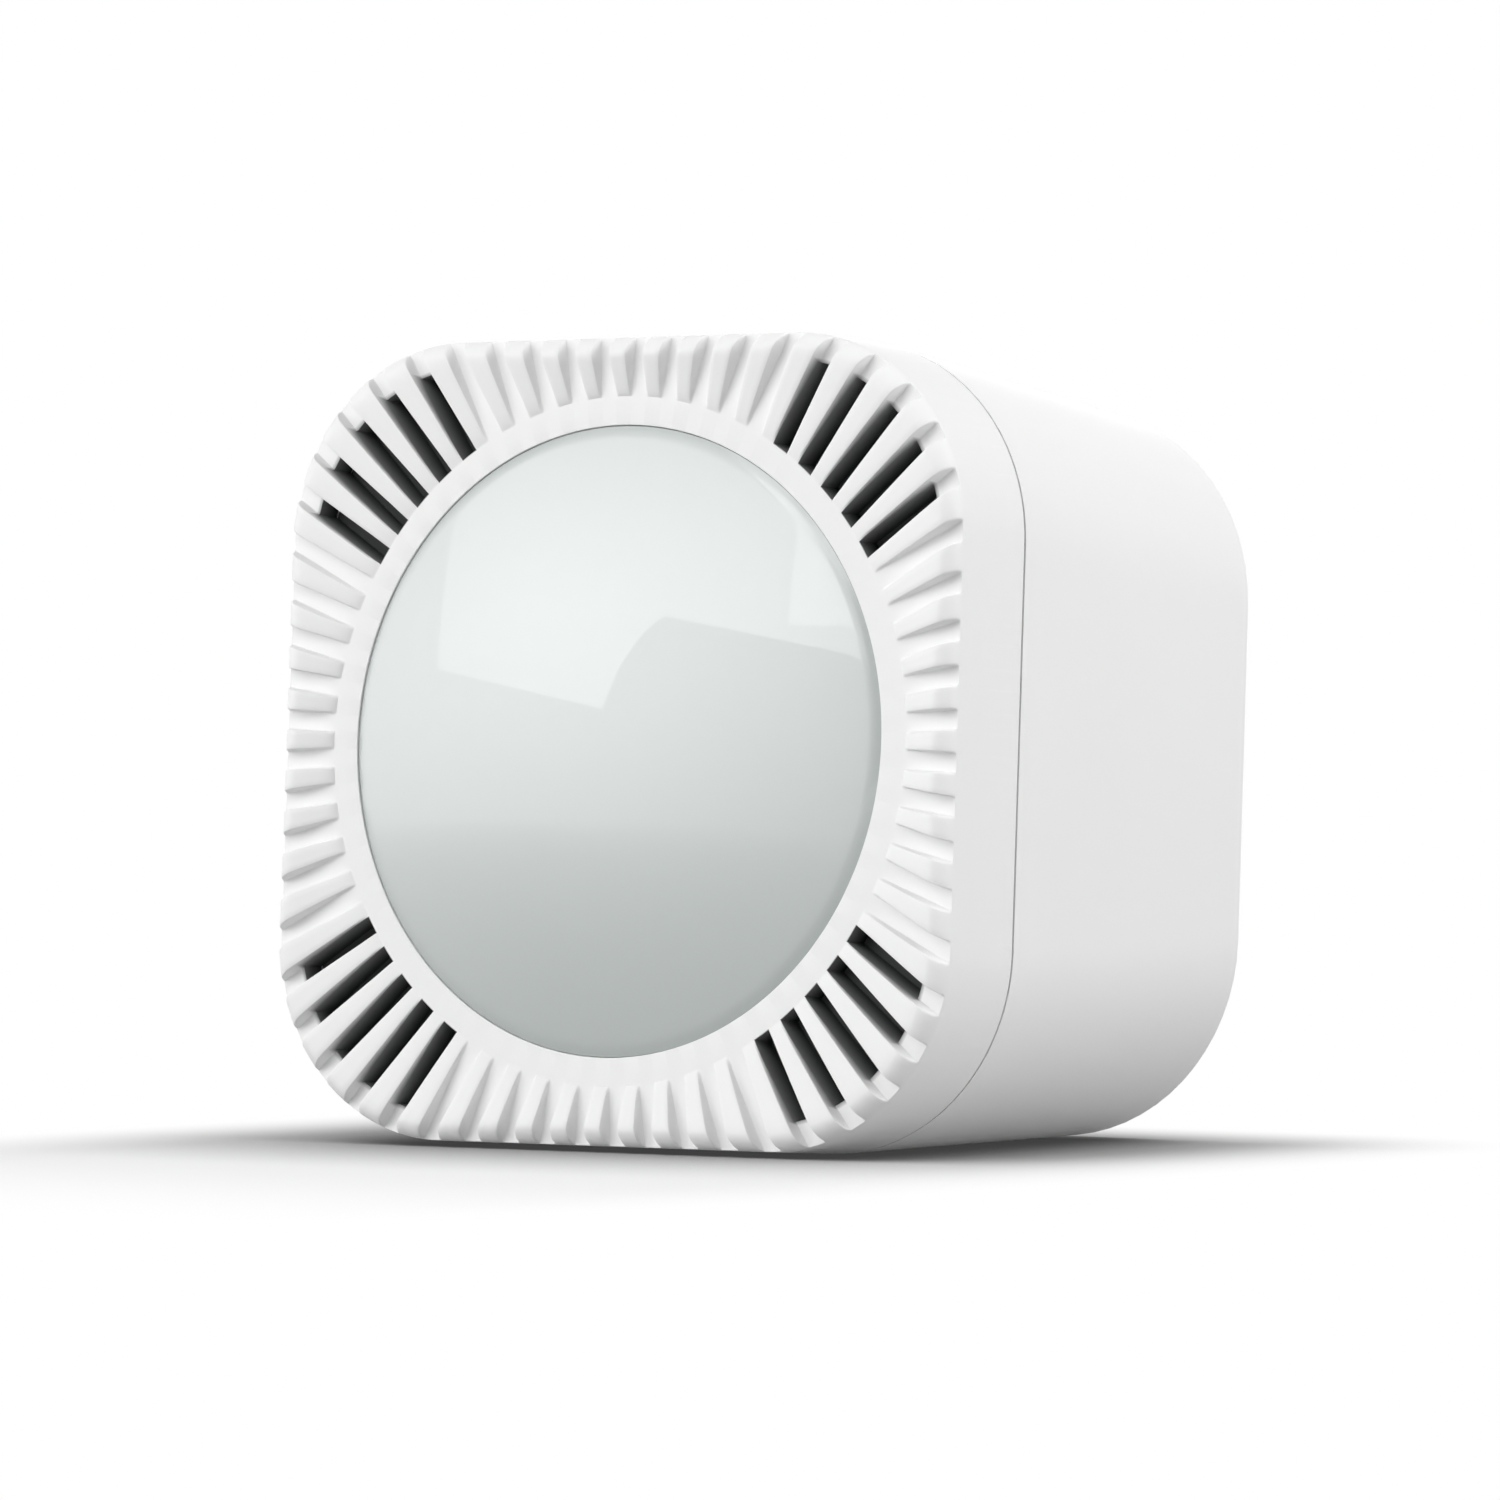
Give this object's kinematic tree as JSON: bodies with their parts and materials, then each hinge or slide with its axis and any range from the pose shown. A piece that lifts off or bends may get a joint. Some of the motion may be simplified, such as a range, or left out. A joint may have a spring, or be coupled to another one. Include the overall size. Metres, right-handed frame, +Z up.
{
  "type": "motion sensor",
  "caption": "Square battery motion sensor with rounded corners, a shallow round lens in a ribbed and vented front frame, and a twist-off wall plate with a tamper pin.",
  "frame": {"origin": "on the surface it stands on, in the middle of the object's bounding box seen from above", "axes": "front with the lens looks along -Y, the wall side faces +Y, +Z is up, +X is to the right seen from the front"},
  "size_m": [0.056, 0.0446, 0.056],
  "materials": {
    "housing_white": "fine satin moulded white",
    "plate_white": "fine satin moulded white",
    "lens_milky": "glossy milky polyethylene, slightly grey-green",
    "dark_plastic": "matt black moulded",
    "foam_black": "closed-cell foam",
    "screen_grey": "fine dark woven screen",
    "board_green": "green solder mask",
    "screw_steel": "zinc plated",
    "can_nickel": "nickel plated",
    "window_dark": "polished dark filter",
    "spacer_plastic": "natural nylon",
    "led_amber": "clear epoxy over phosphor",
    "chip_black": "moulded epoxy",
    "shield_tin": "tinned sheet",
    "contact_nickel": "nickel plated spring steel",
    "capacitor_aluminium": "drawn can on a black base",
    "battery_sleeve": "shrink sleeve",
    "button_grey": "light grey acetal"
  },
  "bodies": {
    "housing": {"front_bezel": "housing_white", "fresnel_lens": "lens_milky", "optics_shroud": "dark_plastic", "shroud_gasket": "foam_black", "vent_screens": "screen_grey", "rear_shell": "housing_white", "main_board": "board_green", "board_screws": "screw_steel", "pir_base": "can_nickel", "pir_can": "can_nickel", "pir_window": "window_dark", "pir_spacer": "spacer_plastic", "status_led": "led_amber", "light_sensor": "window_dark", "climate_board": "board_green", "climate_sensor": "chip_black", "radio_module": "shield_tin", "antenna": "contact_nickel", "controller_chip": "chip_black", "capacitor": "capacitor_aluminium", "battery": "battery_sleeve", "contact_positive": "contact_nickel", "contact_negative": "contact_nickel", "pair_switch": "chip_black", "tamper_spring": "screw_steel", "tamper_switch": "chip_black"},
    "wall_plate": {"back_plate": "plate_white"},
    "button": {"pair_button": "button_grey", "pair_switch_stem": "spacer_plastic"},
    "tamper_pin": {"tamper_plunger": "button_grey", "tamper_switch_stem": "spacer_plastic"}
  },
  "joints": [
    {"name": "plate_twist", "type": "hinge", "parent": "housing", "child": "wall_plate", "pos_m": [0, 0.02148, 0.028], "axis": [0, 1, 0], "range_deg": [0, 26]},
    {"name": "button_press", "type": "slide", "parent": "housing", "child": "button", "axis": [0, -1, 0], "range_m": [0, 0.0005], "stiffness_N_per_m": 800, "springref_m": -0.0005},
    {"name": "tamper_press", "type": "slide", "parent": "housing", "child": "tamper_pin", "axis": [0, -1, 0], "range_m": [0, 0.0008], "stiffness_N_per_m": 150, "springref_m": -0.002, "deforming": ["tamper_spring"]}
  ]
}
